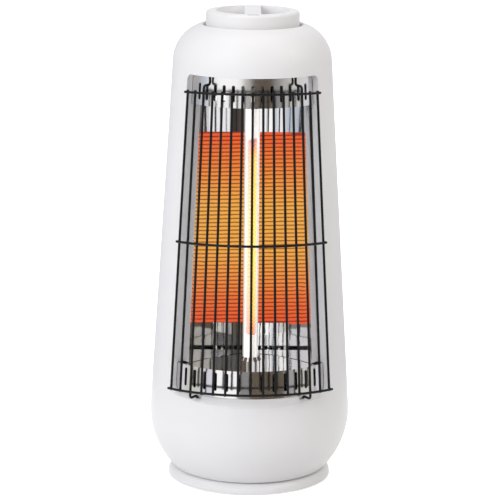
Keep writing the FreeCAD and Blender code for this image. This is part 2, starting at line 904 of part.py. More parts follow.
def lamp_cap(plate_z0, band_z0, band_z1, slot_z0, slot_z1):
    """End plate of the lamp space with its slotted front band, bent from one sheet."""
    plate = parabola_solid(sheet_t, plate_z0, plate_z0 + sheet_t)
    plate = plate.common(rod(skin_r(plate_z0) - band_inset - sheet_t / 2, plate_z0, plate_z0 + sheet_t))
    tab = block(-cap_tab_w / 2, cap_tab_w / 2, lamp_y, mast_y, plate_z0, plate_z0 + sheet_t)
    band = taper_ring(-band_inset, -band_inset - sheet_t, band_z0, band_z1)
    band = band.common(sector(0, far, band_z0, band_z1, -band_half_angle, band_half_angle))
    slot = slot_tool(band_slot_w, slot_z0, slot_z1)
    middle = (band_slot_count - 1) / 2
    slots = [turned(slot, (i - middle) * band_slot_pitch_angle) for i in range(band_slot_count)]
    band = band.cut(Part.makeCompound(slots))
    cap = fused([plate, tab, band])
    return cap.cut(rod(lamp_hole_r, plate_z0, plate_z0 + sheet_t, 0, lamp_y))


def lower_cap():
    z0 = window_z0 + lower_slot_rise
    return lamp_cap(hearth_z0 - sheet_t, window_z0 - band_tuck, hearth_z0, z0, z0 + lower_slot_length)


def upper_cap():
    z1 = window_z1 - upper_slot_drop
    return lamp_cap(hearth_z1, hearth_z1, window_z1 + band_tuck, z1 - upper_slot_length, z1)


# Lamp


def quartz_tube():
    return ring(tube_r, tube_r - tube_wall, tube_z0, tube_z1, 0, lamp_y)


def arc_to(p, tangent, q):
    """Arc from p, along its tangent, to q."""
    chord = q - p
    angle = tangent.getAngle(chord)
    knee = p + tangent * (chord.Length / 2 / math.cos(angle))
    middle = (p + q) * 0.5
    middle += (knee - middle) * (math.tan(angle / 2) / math.tan(angle))
    return Part.Arc(p, middle, q).toShape()


def biarc(p, tp, q, tq):
    """Two arcs that meet smoothly and run from p along tp to q along tq."""
    v = q - p
    t = tp + tq
    a = 2 * (1 - tp.dot(tq))
    b = v.dot(t)
    d = v.dot(v) / (2 * b) if a == 0 else (-b + math.sqrt(b * b + a * v.dot(v))) / a
    joint = (p + tp * d + q - tq * d) * 0.5
    back = arc_to(q, tq * -1, joint)
    return [arc_to(p, tp, joint), back]


def coil_state(turns):
    """Point and direction on the coil after a number of turns."""
    pitch = (coil_z1 - coil_z0) / coil_turn_count
    a = 2 * math.pi * turns
    point = Vector(coil_r * math.cos(a), lamp_y + coil_r * math.sin(a), coil_z0 + pitch * turns)
    along = Vector(-math.sin(a), math.cos(a), pitch / (2 * math.pi * coil_r))
    along.normalize()
    return point, along


def coil_path():
    """Edges from plug to plug: straight lead, bend, half-turn biarcs, bend, straight lead."""
    states = [coil_state(i / 2) for i in range(2 * coil_turn_count + 1)]
    first, first_along = states[0]
    last, last_along = states[-1]
    flat_first = Vector(first_along.x, first_along.y, 0)
    flat_last = Vector(last_along.x, last_along.y, 0)
    low = first - flat_first * coil_bend - UP * coil_bend
    high = last + flat_last * coil_bend + UP * coil_bend
    edges = [line(low - UP * coil_lead, low)]
    edges += biarc(low, UP, first, first_along)
    for (p, tp), (q, tq) in zip(states, states[1:]):
        edges += biarc(p, tp, q, tq)
    edges += biarc(last, last_along, high, UP)
    edges.append(line(high, high + UP * coil_lead))
    return edges


def carbon_filament():
    """One unbroken wound carbon filament between its two end plugs."""
    edges = coil_path()
    start = edges[0].Vertexes[0].Point
    h = coil_wire / 2
    signs = ((-1, -1), (1, -1), (1, 1), (-1, 1))
    corners = [Vector(start.x + i * h, start.y + j * h, start.z) for i, j in signs]
    section = Part.makePolygon(corners + corners[:1])
    coil = Part.Wire(edges).makePipeShell([section], True, False)
    report_coil_gap()
    return coil


def report_coil_gap():
    """Print the least gap between neighbouring turns, measured on points."""
    steps = coil_step_count
    points = [coil_state(i / steps)[0] for i in range(coil_turn_count * steps + 1)]
    least = far
    for i, p in enumerate(points):
        later = points[i + steps // 2:i + 2 * steps]
        least = min([least] + [(p - q).Length for q in later])
    print("least gap between coil turns, mm:", round(least - coil_wire * math.sqrt(2), 2))


def filament_plugs():
    """Ceramic cores that centre the filament in the tube, each with its contact pin."""
    low = rod(core_r, tube_z0, core_low_z, 0, lamp_y)
    low = low.fuse(rod(pin_r, tube_z0 - ceramic_tail, tube_z0, 0, lamp_y))
    high = rod(core_r, core_high_z, tube_z1, 0, lamp_y)
    high = high.fuse(rod(pin_r, tube_z1, tube_z1 + ceramic_tail, 0, lamp_y))
    return Part.makeCompound([low, high])


def ceramic_holder(tube_end, out):
    """Ceramic end holder of the lamp, its flange seated on a bracket; out is -1 below and 1 above."""
    def span(r, a, b):
        return rod(r, min(a, b), max(a, b), 0, lamp_y)

    tail = tube_end + out * ceramic_tail
    grip = tube_end - out * ceramic_grip
    flange = span(ceramic_flange_r, tube_end, tube_end - out * ceramic_flange_t)
    body = span(ceramic_r, tail, grip).fuse(flange)
    body = body.cut(span(tube_r + run_gap, tube_end, grip))
    return body.cut(span(pin_r + run_gap, tail, tube_end))


def lamp_bracket(tube_end, out):
    """Bent bracket from the mast to a ceramic holder; out is -1 below and 1 above."""
    z0, z1 = sorted((tube_end, tube_end + out * bracket_t))
    half_w = bracket_w / 2
    tongue = block(-half_w, half_w, lamp_y, mast_y, z0, z1)
    nose = rod(half_w, z0, z1, 0, lamp_y)
    t0, t1 = sorted((tube_end, tube_end + out * bracket_tab_h))
    tab = block(-half_w, half_w, mast_y - bracket_t, mast_y, t0, t1)
    bracket = fused([tongue, nose, tab])
    return bracket.cut(rod(ceramic_r + fit_gap, z0, z1, 0, lamp_y))


def mast():
    """Upright channel that carries the reflector and lamp between the tray and the deck."""
    half_w = mast_w / 2
    web = block(-half_w, half_w, mast_y, mast_y + mast_t, tray_z1, deck_z0)
    shapes = [web]
    for x in (-half_w, half_w - mast_t):
        shapes.append(block(x, x + mast_t, lamp_y, mast_y, hearth_z0, hearth_z1))
    foot_y1 = terminal_y0() - terminal_gap
    for z in (tray_z1, deck_z0 - mast_t):
        shapes.append(block(-half_w, half_w, mast_y, foot_y1, z, z + mast_t))
    channel = fused(shapes)
    return channel.cut(parabola_solid(sheet_t + run_gap, hearth_z0, hearth_z1))


def thermal_cutoff():
    """Disc thermostat on the back of the mast."""
    y0 = mast_y + mast_t
    z = hearth_z1 - cutoff_drop
    half_w = cutoff_flange_w / 2
    flange = block(-half_w, half_w, y0, y0 + cutoff_flange_t, z - cutoff_r, z + cutoff_r)
    return flange.fuse(rod_y(cutoff_r, y0, y0 + cutoff_h, 0, z))


def terminal_y0():
    """Front face of the terminal strip, set back from the rear edge of the tray."""
    return tray_r() - terminal_setback - terminal_d / 2


def terminal_block():
    """Moulded terminal strip on the tray."""
    half_w = terminal_w / 2
    y0 = terminal_y0()
    y1 = y0 + terminal_d
    body = block(-half_w, half_w, y0, y1, tray_z1, tray_z1 + terminal_h)
    pitch = terminal_w / terminal_way_count
    hole_z0 = tray_z1 + terminal_h / 2
    for i in range(terminal_way_count):
        x = (i - (terminal_way_count - 1) / 2) * pitch
        body = body.cut(rod(terminal_hole_r, hole_z0, tray_z1 + terminal_h, x, (y0 + y1) / 2))
    return body


def lower_tray():
    """Steel tray between the lamp space and the swing drive."""
    return rod(tray_r(), tray_z0, tray_z1).cut(rod(tray_hole_r, tray_z0, tray_z1))


# Wire guard


def rail_heights():
    low = window_z0 + lower_rail_rise
    high = window_z1 - upper_rail_drop
    return (low, (low + high) / 2, high)


def guard_r(z):
    """Radius of the upright wires at height z; the guard leans in a little more than the housing."""
    low, middle, high = rail_heights()
    share = (z - low) / (high - low)
    return skin_r(z) + guard_low_reach + (guard_high_reach - guard_low_reach) * share


def rail_point(angle, z_front, offset):
    """Point of a guard rail, which leans back square to the front wires."""
    low, middle, high = rail_heights()
    lean = (guard_r(low) - guard_r(high)) / (high - low)
    z = z_front - (1 - math.cos(math.radians(angle))) * guard_r(z_front) * lean
    return polar(guard_r(z) + offset, angle, z)


def swept(edges, r):
    path = Part.Wire(edges)
    start = edges[0].Vertexes[0].Point
    along = edges[0].tangentAt(edges[0].FirstParameter)
    section = Part.Wire(Part.makeCircle(r, start, along))
    return path.makePipeShell([section], True, False)


def guard_rails():
    """Three curved cross rails, welded outside the upright wires."""
    end = (guard_wire_count - 1) / 2 * guard_pitch_angle + rail_overhang_angle
    offset = wire_d - guard_weld
    rails = []
    for z in rail_heights():
        points = [rail_point(a, z, offset) for a in (-end, 0, end)]
        rails.append(swept([Part.Arc(*points).toShape()], wire_r))
    return Part.makeCompound(rails)


def bent_path(points, bend_r):
    """Straight runs joined by tangent arcs."""
    edges = []
    start = points[0]
    for before, corner, after in zip(points, points[1:], points[2:]):
        to_start = (before - corner).normalize()
        to_end = (after - corner).normalize()
        half = to_start.getAngle(to_end) / 2
        trim = bend_r / math.tan(half)
        p = corner + to_start * trim
        q = corner + to_end * trim
        bisector = (to_start + to_end).normalize()
        crown = corner + bisector * (bend_r / math.sin(half) - bend_r)
        edges += [line(start, p), Part.Arc(p, crown, q).toShape()]
        start = q
    edges.append(line(start, points[-1]))
    return edges


def hook_wire(angle):
    """Upright wire whose ends bend in and hook into the window frame."""
    heights = rail_heights()
    low = rail_point(angle, heights[0], 0).z - hook_rise
    high = rail_point(angle, heights[-1], 0).z + hook_rise
    places = [
        (skin_r(window_z0) - hook_inset, window_z0 - hook_tail),
        (skin_r(window_z0) - hook_inset, low),
        (guard_r(low), low),
        (guard_r(high), high),
        (skin_r(window_z1) - hook_inset, high),
        (skin_r(window_z1) - hook_inset, window_z1 + hook_tail),
    ]
    return swept(bent_path([polar(r, angle, z) for r, z in places], hook_bend_r), wire_r)


def straight_wire(angle):
    heights = rail_heights()
    z0 = rail_point(angle, heights[0], 0).z - wire_tail
    z1 = rail_point(angle, heights[-1], 0).z + wire_tail
    return rod_between(polar(guard_r(z0), angle, z0), polar(guard_r(z1), angle, z1), wire_r)


def guard_uprights():
    """Upright guard wires, two of them bent into hooks at both ends."""
    middle = (guard_wire_count - 1) // 2
    wires = []
    for i in range(-middle, middle + 1):
        angle = i * guard_pitch_angle
        hooked = abs(i) == hook_wire_index
        wires.append(hook_wire(angle) if hooked else straight_wire(angle))
    return Part.makeCompound(wires)


# Controls on the top


def control_deck():
    """Deck under the dial that carries the rotary switch."""
    return rod(deck_r(), deck_z0, deck_z1).cut(rod(switch_bush_r + run_gap, deck_z0, deck_z1))


def rotary_switch():
    half_w = switch_w / 2
    case = block(-half_w, half_w, -half_w, half_w, deck_z0 - switch_h, deck_z0)
    case = case.fuse(rod(switch_bush_r, deck_z0, deck_z1 + switch_bush_h))
    depth = deck_z0 - switch_shaft_depth - fit_gap
    return case.cut(rod(switch_shaft_r + run_gap, depth, deck_z1 + switch_bush_h))


def switch_nut():
    """Hexagon nut that clamps the switch to the deck."""
    corner_r = switch_nut_flat / 2 / math.cos(math.pi / switch_nut_corner_count)
    count = switch_nut_corner_count
    corners = [polar(corner_r, 360 * i / count, deck_z1) for i in range(count)]
    nut = Part.Face(Part.makePolygon(corners + corners[:1])).extrude(UP * switch_nut_t)
    return nut.cut(rod(switch_bush_r + run_gap, deck_z1, deck_z1 + switch_nut_t))


def switch_shaft():
    return rod(switch_shaft_r, deck_z0 - switch_shaft_depth, deck_z1 + switch_shaft_top)


def dial_recess(z0, z1, rim, half_bar):
    """D-shaped space between the rim and the grip bar, on the right side."""
    disc = rod(dial_r - rim, z0, z1)
    return disc.common(block(half_bar, dial_r, -dial_r, dial_r, z0, z1))


def dial():
    """Round dial with two D-shaped finger recesses that leave a grip bar across it."""
    body = rod(dial_r, dial_z0, dial_z1)
    top_edge = [e for e in body.Edges if e.isClosed() and e.Vertexes[0].Z > dial_z1 - fit_gap]
    body = body.makeFillet(dial_edge_round, top_edge)
    floor_z = dial_z1 - dial_recess_depth
    recess = dial_recess(floor_z, dial_z1 + overrun, dial_rim_w, dial_bar_w / 2)
    body = body.cut(recess).cut(mirrored(recess))
    under_z = floor_z - dial_wall
    roof_z = dial_z1 - dial_wall
    body = body.cut(rod(dial_r - dial_wall, dial_z0, under_z))
    half_slot = dial_bar_w / 2 - dial_wall
    groove_in = dial_r - dial_rim_w + dial_wall
    groove_out = dial_r - dial_wall - dial_edge_round / 2
    groove_mid = (groove_in + groove_out) / 2
    body = body.cut(ring(groove_out, groove_in, under_z, roof_z))
    body = body.cut(block(-half_slot, half_slot, -groove_mid, groove_mid, under_z, roof_z))
    hub = rod(dial_hub_r, hub_dial_z0, roof_z)
    body = fused([body, hub])
    body = body.cut(pointer_seat())
    return body.cut(rod(switch_shaft_r + run_gap, hub_dial_z0, deck_z1 + switch_shaft_top))


def pointer_bar(z0, z1):
    """Upright bar at the front of the dial's rim, seen from above as a short dash."""
    y0 = -dial_r + dial_edge_round + pointer_setback - pointer_d / 2
    return block(-pointer_w / 2, pointer_w / 2, y0, y0 + pointer_d, z0, z1)


def pointer_seat():
    return pointer_bar(dial_z1 - pointer_sink, dial_z1 + overrun)


def dial_pointer():
    return pointer_bar(dial_z1 - pointer_sink, dial_z1 - pointer_sink + pointer_h)


nodes = {
    "base_shell": base_shell,
    "base_plate": base_plate,
    "rubber_feet": rubber_feet,
    "base_screws": base_screws,
    "ballast_ring": ballast_ring,
    "cord_gland": cord_gland,
    "pivot_post": pivot_post,
    "lower_washer": lambda: thrust_washer(plateau_z),
    "upper_washer": lambda: thrust_washer(hub_z1 + run_gap),
    "sun_gear": sun_gear,
    "retaining_ring": retaining_ring,
    "tip_switch": tip_switch,
    "tip_plunger": tip_plunger,
    "drive_pinion": drive_pinion,
    "motor_shaft": motor_shaft,
    "swing_motor": swing_motor,
    "swivel_plate": swivel_plate,
    "front_housing": front_housing,
    "rear_housing": rear_housing,
    "housing_screws": housing_screws,
    "lower_tray": lower_tray,
    "mast": mast,
    "thermal_cutoff": thermal_cutoff,
    "terminal_block": terminal_block,
    "reflector": reflector,
    "lower_cap": lower_cap,
    "upper_cap": upper_cap,
    "quartz_tube": quartz_tube,
    "carbon_filament": carbon_filament,
    "filament_plugs": filament_plugs,
    "lower_holder": lambda: ceramic_holder(tube_z0, -1),
    "upper_holder": lambda: ceramic_holder(tube_z1, 1),
    "lower_bracket": lambda: lamp_bracket(tube_z0, -1),
    "upper_bracket": lambda: lamp_bracket(tube_z1, 1),
    "guard_rails": guard_rails,
    "guard_uprights": guard_uprights,
    "control_deck": control_deck,
    "rotary_switch": rotary_switch,
    "switch_nut": switch_nut,
    "switch_shaft": switch_shaft,
    "dial": dial,
    "dial_pointer": dial_pointer,
}

os.makedirs("parts", exist_ok=True)
for name, make in nodes.items():
    make().exportStep("parts/" + name + ".step")
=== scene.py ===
import math

import bpy
from mathutils import Matrix, Vector


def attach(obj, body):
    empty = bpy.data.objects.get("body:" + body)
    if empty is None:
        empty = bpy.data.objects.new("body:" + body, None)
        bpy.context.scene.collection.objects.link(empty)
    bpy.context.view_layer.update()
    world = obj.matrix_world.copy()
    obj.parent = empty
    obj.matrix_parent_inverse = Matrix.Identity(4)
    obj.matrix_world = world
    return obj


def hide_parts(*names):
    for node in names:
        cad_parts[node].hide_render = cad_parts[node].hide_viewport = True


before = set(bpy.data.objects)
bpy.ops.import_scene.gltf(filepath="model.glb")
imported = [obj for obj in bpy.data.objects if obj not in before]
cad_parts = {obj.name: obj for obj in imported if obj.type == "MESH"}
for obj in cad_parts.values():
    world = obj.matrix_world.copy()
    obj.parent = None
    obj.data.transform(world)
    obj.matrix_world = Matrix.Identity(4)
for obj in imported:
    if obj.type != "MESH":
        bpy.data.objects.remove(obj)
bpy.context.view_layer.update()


# Underside of the swing base: a zinc-plated steel plate, screwed up into the moulded foot disc.
# Five black rubber feet are pushed into it by their pegs, and a cast iron ring sits on top of it.
def add(tree, kind, **sockets):
    """New node in a tree, with some of its inputs set by name."""
    node = tree.nodes.new(kind)
    for name, value in sockets.items():
        node.inputs[name.replace("_", " ")].default_value = value
    return node


def calculate(tree, operation, *terms):
    """Result of a math node whose terms are sockets or numbers."""
    node = tree.nodes.new("ShaderNodeMath")
    node.operation = operation
    for term, socket in zip(terms, node.inputs):
        if isinstance(term, float):
            socket.default_value = term
        else:
            tree.links.new(term, socket)
    return node.outputs[0]


def noise_value(tree, place, size, detail):
    """Noise texture over a place vector; size is a socket that gives its scale."""
    noise_roughness = 0.55
    noise = add(tree, "ShaderNodeTexNoise", Detail=detail, Roughness=noise_roughness)
    tree.links.new(place, noise.inputs["Vector"])
    tree.links.new(size, noise.inputs["Scale"])
    return noise.outputs["Fac"]


def swing_about(tree, noise, middle, spread):
    """Middle value plus the spread times the noise's swing."""
    noise_middle = 0.5
    swing = calculate(tree, "SUBTRACT", noise, noise_middle)
    return calculate(tree, "MULTIPLY_ADD", swing, spread, middle)


def start_group(name, numbers):
    """Shader group that takes a colour and some numbers and gives colour, roughness and height."""
    tree = bpy.data.node_groups.new(name, "ShaderNodeTree")
    tree.interface.new_socket("Colour", in_out="INPUT", socket_type="NodeSocketColor")
    for number in numbers:
        tree.interface.new_socket(number, in_out="INPUT", socket_type="NodeSocketFloat")
    tree.interface.new_socket("Colour", in_out="OUTPUT", socket_type="NodeSocketColor")
    for number in ("Roughness", "Height"):
        tree.interface.new_socket(number, in_out="OUTPUT", socket_type="NodeSocketFloat")
    inputs = tree.nodes.new("NodeGroupInput").outputs
    outputs = tree.nodes.new("NodeGroupOutput").inputs
    return tree, inputs, outputs


def vary(tree, noise, inputs, outputs):
    """Let a noise swing the tone and the gloss that a shader group gives."""
    tint = tree.nodes.new("ShaderNodeVectorMath")
    tint.operation = "SCALE"
    tone = swing_about(tree, noise, 1.0, inputs["Tone spread"])
    tree.links.new(inputs["Colour"], tint.inputs[0])
    tree.links.new(tone, tint.inputs["Scale"])
    tree.links.new(tint.outputs[0], outputs["Colour"])
    gloss = swing_about(tree, noise, inputs["Gloss"], inputs["Gloss spread"])
    tree.links.new(gloss, outputs["Roughness"])


def build_surface_group():
    """Patchy colour, uneven gloss and fine grain of a moulded, cast, plated or enamelled piece."""
    patch_detail, grain_detail = 3.0, 2.0
    tree, inputs, outputs = start_group(
        "uneven_surface", ("Tone spread", "Patch scale", "Gloss", "Gloss spread", "Grain scale"))
    place = tree.nodes.new("ShaderNodeTexCoord").outputs["Object"]
    vary(tree, noise_value(tree, place, inputs["Patch scale"], patch_detail), inputs, outputs)
    grain = noise_value(tree, place, inputs["Grain scale"], grain_detail)
    tree.links.new(grain, outputs["Height"])
    return tree


surface_group = build_surface_group()


def grouped_material(name, group, values, bump, depth, metallic):
    """Material with the colour, roughness and relief that a shader group gives for some values."""
    material = bpy.data.materials.new(name)
    material.use_nodes = True
    tree = material.node_tree
    shader = tree.nodes["Principled BSDF"]
    shader.inputs["Metallic"].default_value = metallic
    surface = tree.nodes.new("ShaderNodeGroup")
    surface.node_tree = group
    for socket, value in values.items():
        surface.inputs[socket].default_value = value
    relief = add(tree, "ShaderNodeBump", Strength=bump, Distance=depth)
    tree.links.new(surface.outputs["Colour"], shader.inputs["Base Color"])
    tree.links.new(surface.outputs["Roughness"], shader.inputs["Roughness"])
    tree.links.new(surface.outputs["Height"], relief.inputs["Height"])
    tree.links.new(relief.outputs["Normal"], shader.inputs["Normal"])
    return material


def finish(name, colour, tone, patch, gloss, gloss_spread, grain, bump, metallic=0.0):
    """Material of one finish: its colour, patchiness, gloss and grain, uneven over the surface."""
    grain_depth = 0.0004
    values = {"Colour": (*colour, 1.0), "Tone spread": tone, "Patch scale": patch, "Gloss": gloss,
              "Gloss spread": gloss_spread, "Grain scale": grain}
    return grouped_material(name, surface_group, values, bump, grain_depth, metallic)


def wear(material, *nodes):
    """Give CAD nodes a material."""
    for node in nodes:
        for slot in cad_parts[node].material_slots:
            slot.material = material


zinc_plate = finish(
    "zinc_plate", colour=(0.42, 0.42, 0.41), tone=0.25, patch=60, gloss=0.36,
    gloss_spread=0.2, grain=700, bump=0.15, metallic=1.0)
foot_rubber = finish(
    "foot_rubber", colour=(0.018, 0.018, 0.018), tone=0.5, patch=120, gloss=0.75,
    gloss_spread=0.15, grain=1800, bump=0.5)
ballast_casting = finish(
    "ballast_casting", colour=(0.09, 0.088, 0.085), tone=0.4, patch=90, gloss=0.7,
    gloss_spread=0.2, grain=500, bump=0.9)
wear(zinc_plate, "base_plate", "base_screws")
wear(foot_rubber, "rubber_feet", "cord_gland")
wear(ballast_casting, "ballast_ring")


# Tip-over switch in the base: a black moulded case and the plunger that the floor holds up.
# Both are glass-filled plastic with a dull, slightly stony skin.
black_moulding = finish(
    "black_moulding", colour=(0.022, 0.022, 0.023), tone=0.4, patch=80, gloss=0.5,
    gloss_spread=0.15, grain=1500, bump=0.3)
wear(black_moulding, "tip_switch", "tip_plunger")


# Swing bearing and drive: a steel post, nylon washers and gears, and a small gear motor.
# The swivel plate is moulded from the same natural nylon as the gears.
natural_nylon = finish(
    "natural_nylon", colour=(0.66, 0.63, 0.55), tone=0.12, patch=40, gloss=0.45,
    gloss_spread=0.1, grain=1200, bump=0.12)
wear(zinc_plate, "pivot_post", "retaining_ring", "swing_motor", "motor_shaft")
wear(natural_nylon, "lower_washer", "upper_washer", "sun_gear", "drive_pinion", "swivel_plate")


# Foot disc and the two half shells of the vase-shaped housing, with their screws.
# They are moulded in white plastic with a soft sheen; the halves are drawn together from behind.
white_moulding = finish(
    "white_moulding", colour=(0.77, 0.765, 0.785), tone=0.025, patch=9, gloss=0.34,
    gloss_spread=0.06, grain=2600, bump=0.05)
wear(white_moulding, "base_shell", "front_housing", "rear_housing")
wear(zinc_plate, "housing_screws")


# Steel skeleton inside the housing: tray, mast, lamp brackets, thermal cut-off, terminal strip.
# The steel is zinc plated; the strip is black plastic.
wear(zinc_plate, "lower_tray", "mast", "thermal_cutoff", "lower_bracket", "upper_bracket")
wear(black_moulding, "terminal_block")


# Parabolic reflector and the slotted end bands round the lamp, bent from mirror-polished steel.
# Rolling and polishing leave faint upright streaks, so reflections are drawn out along Z.
# The lower plate is polished brighter than the upper, and its finish falls slightly to the back.
def build_rolled_group():
    """Upright rolling streaks of a polished sheet: tone, gloss and height."""
    streak_squeeze, streak_detail = 0.012, 4.0
    tree, inputs, outputs = start_group(
        "rolled_sheet", ("Tone spread", "Streak scale", "Gloss", "Gloss spread"))
    stretch = add(tree, "ShaderNodeMapping", Scale=(1.0, 1.0, streak_squeeze))
    tree.links.new(tree.nodes.new("ShaderNodeTexCoord").outputs["Object"], stretch.inputs["Vector"])
    streak = noise_value(tree, stretch.outputs["Vector"], inputs["Streak scale"], streak_detail)
    vary(tree, streak, inputs, outputs)
    tree.links.new(streak, outputs["Height"])
    return tree


rolled_group = build_rolled_group()


def rolled_finish(name, colour, tone, streak, gloss, gloss_spread, bump):
    """Material of a polished rolled sheet."""
    streak_depth = 0.0005
    values = {"Colour": (*colour, 1.0), "Tone spread": tone, "Streak scale": streak, "Gloss": gloss,
              "Gloss spread": gloss_spread}
    return grouped_material(name, rolled_group, values, bump, streak_depth, metallic=1.0)


def object_place(tree):
    """Object coordinates of a point on the surface, as the sockets X, Y and Z."""
    place = tree.nodes.new("ShaderNodeSeparateXYZ")
    tree.links.new(tree.nodes.new("ShaderNodeTexCoord").outputs["Object"], place.inputs["Vector"])
    return place.outputs


mirror_sheet = rolled_finish(
    "mirror_sheet", colour=(0.86, 0.85, 0.85), tone=0.1, streak=90, gloss=0.05,
    gloss_spread=0.03, bump=0.16)
mirror_band = rolled_finish(
    "mirror_band", colour=(0.84, 0.83, 0.83), tone=0.1, streak=120, gloss=0.2,
    gloss_spread=0.06, bump=0.1)
wear(mirror_sheet, "reflector")
wear(mirror_band, "upper_cap")

plate_fall = math.radians(2.5)
mirror_plate = rolled_finish(
    "mirror_plate", colour=(0.84, 0.83, 0.83), tone=0.1, streak=120, gloss=0.13,
    gloss_spread=0.05, bump=0.1)
plate_tree = mirror_plate.node_tree
plate_rise = calculate(plate_tree, "MULTIPLY", object_place(plate_tree)["Y"], -math.tan(plate_fall))
plate_slope = add(plate_tree, "ShaderNodeBump", Strength=1.0, Distance=1.0)
plate_tree.links.new(plate_rise, plate_slope.inputs["Height"])
plate_tree.links.new(plate_tree.nodes["Bump"].outputs["Normal"], plate_slope.inputs["Normal"])
plate_shader = plate_tree.nodes["Principled BSDF"]
plate_tree.links.new(plate_slope.outputs["Normal"], plate_shader.inputs["Normal"])
wear(mirror_plate, "lower_cap")


# Lamp: a faintly milky quartz tube between two ceramic holders, with ceramic cores in its ends.
# The carbon filament is one flat ribbon wound round a thin dark rod. It glows amber in the middle
# and red at its ends. The yellow strip in the glass in front of it is painted glow on the tube.
lamp_y = -0.044
coil_foot = 0.1598
coil_height = 0.1995
coil_turns = 49
coil_radius = 0.0042
ribbon_width = 0.00245
ribbon_thickness = 0.0006
core_radius = 0.0030


def build_ribbon_tree(material):
    """Geometry node tree of a flat ribbon wound round a rod on the lamp's axis."""
    tree = bpy.data.node_groups.new("wound_ribbon", "GeometryNodeTree")
    tree.interface.new_socket("Geometry", in_out="OUTPUT", socket_type="NodeSocketGeometry")
    for name in ("Turns", "Radius", "Height", "Ribbon width", "Ribbon thickness", "Core radius",
                 "Axis depth", "Foot"):
        tree.interface.new_socket(name, in_out="INPUT", socket_type="NodeSocketFloat")
    inputs = tree.nodes.new("NodeGroupInput").outputs
    steps_per_turn, rod_sides = 40, 32
    spiral = add(tree, "GeometryNodeCurveSpiral", Resolution=steps_per_turn)
    tree.links.new(inputs["Turns"], spiral.inputs["Rotations"])
    tree.links.new(inputs["Radius"], spiral.inputs["Start Radius"])
    tree.links.new(inputs["Radius"], spiral.inputs["End Radius"])
    tree.links.new(inputs["Height"], spiral.inputs["Height"])
    upright = tree.nodes.new("GeometryNodeSetCurveNormal")
    upright.mode = "Z_UP"
    tree.links.new(spiral.outputs["Curve"], upright.inputs["Curve"])
    section = tree.nodes.new("GeometryNodeCurvePrimitiveQuadrilateral")
    tree.links.new(inputs["Ribbon thickness"], section.inputs["Width"])
    tree.links.new(inputs["Ribbon width"], section.inputs["Height"])
    ribbon = add(tree, "GeometryNodeCurveToMesh", Fill_Caps=True)
    tree.links.new(upright.outputs["Curve"], ribbon.inputs["Curve"])
    tree.links.new(section.outputs["Curve"], ribbon.inputs["Profile Curve"])
    rod = add(tree, "GeometryNodeMeshCylinder", Vertices=rod_sides)
    tree.links.new(inputs["Core radius"], rod.inputs["Radius"])
    tree.links.new(inputs["Height"], rod.inputs["Depth"])
    lift = tree.nodes.new("ShaderNodeCombineXYZ")
    tree.links.new(calculate(tree, "MULTIPLY", inputs["Height"], 0.5), lift.inputs["Z"])
    raised = tree.nodes.new("GeometryNodeTransform")
    tree.links.new(rod.outputs["Mesh"], raised.inputs["Geometry"])
    tree.links.new(lift.outputs["Vector"], raised.inputs["Translation"])
    wound = tree.nodes.new("GeometryNodeJoinGeometry")
    tree.links.new(raised.outputs["Geometry"], wound.inputs["Geometry"])
    tree.links.new(ribbon.outputs["Mesh"], wound.inputs["Geometry"])
    shift = tree.nodes.new("ShaderNodeCombineXYZ")
    tree.links.new(inputs["Axis depth"], shift.inputs["Y"])
    tree.links.new(inputs["Foot"], shift.inputs["Z"])
    placed = tree.nodes.new("GeometryNodeTransform")
    tree.links.new(wound.outputs["Geometry"], placed.inputs["Geometry"])
    tree.links.new(shift.outputs["Vector"], placed.inputs["Translation"])
    return close_tree(tree, placed.outputs["Geometry"], material)


def close_tree(tree, geometry, material):
    """End a geometry node tree in Realize Instances and Set Material."""
    real = tree.nodes.new("GeometryNodeRealizeInstances")
    painted = tree.nodes.new("GeometryNodeSetMaterial")
    painted.inputs["Material"].default_value = material
    tree.links.new(geometry, real.inputs["Geometry"])
    tree.links.new(real.outputs["Geometry"], painted.inputs["Geometry"])
    outputs = tree.nodes.new("NodeGroupOutput").inputs
    tree.links.new(painted.outputs["Geometry"], outputs["Geometry"])
    return tree


def made_by(name, start_mesh, tree, values):
    """Plain mesh object that a geometry node tree makes from a start mesh."""
    piece = bpy.data.objects.new(name, start_mesh)
    bpy.context.scene.collection.objects.link(piece)
    modifier = piece.modifiers.new(tree.name, "NODES")
    modifier.node_group = tree
    for item in tree.interface.items_tree:
        if item.in_out == "INPUT" and item.name in values:
            modifier[item.identifier] = values[item.name]
    bpy.context.view_layer.update()
    evaluated = piece.evaluated_get(bpy.context.evaluated_depsgraph_get())
    mesh = bpy.data.meshes.new_from_object(evaluated)
    piece.modifiers.remove(modifier)
    piece.data = mesh
    mesh.name = name
    return piece


def ramp(tree, value, stops):
    """Colour ramp over a value."""
    node = tree.nodes.new("ShaderNodeValToRGB")
    elements = node.color_ramp.elements
    for place, _ in stops[2:]:
        elements.new(place)
    for element, (place, colour) in zip(elements, sorted(stops)):
        element.position = place
        element.color = (*colour, 1.0)
    tree.links.new(value, node.inputs["Fac"])
    return node.outputs["Color"]


def mapped(tree, value, low, high):
    """Value stretched so that low gives 0 and high gives 1."""
    node = tree.nodes.new("ShaderNodeMapRange")
    node.inputs["From Min"].default_value = low
    node.inputs["From Max"].default_value = high
    tree.links.new(value, node.inputs["Value"])
    return node.outputs["Result"]


def blend(tree, kind, share, first, second):
    """Mix of two colours, by a share that is a socket or a number."""
    node = tree.nodes.new("ShaderNodeMix")
    node.data_type = "RGBA"
    node.blend_type = kind
    if isinstance(share, float):
        node.inputs["Factor"].default_value = share
    else:
        tree.links.new(share, node.inputs["Factor"])
    tree.links.new(first, node.inputs["A"])
    tree.links.new(second, node.inputs["B"])
    return node.outputs["Result"]


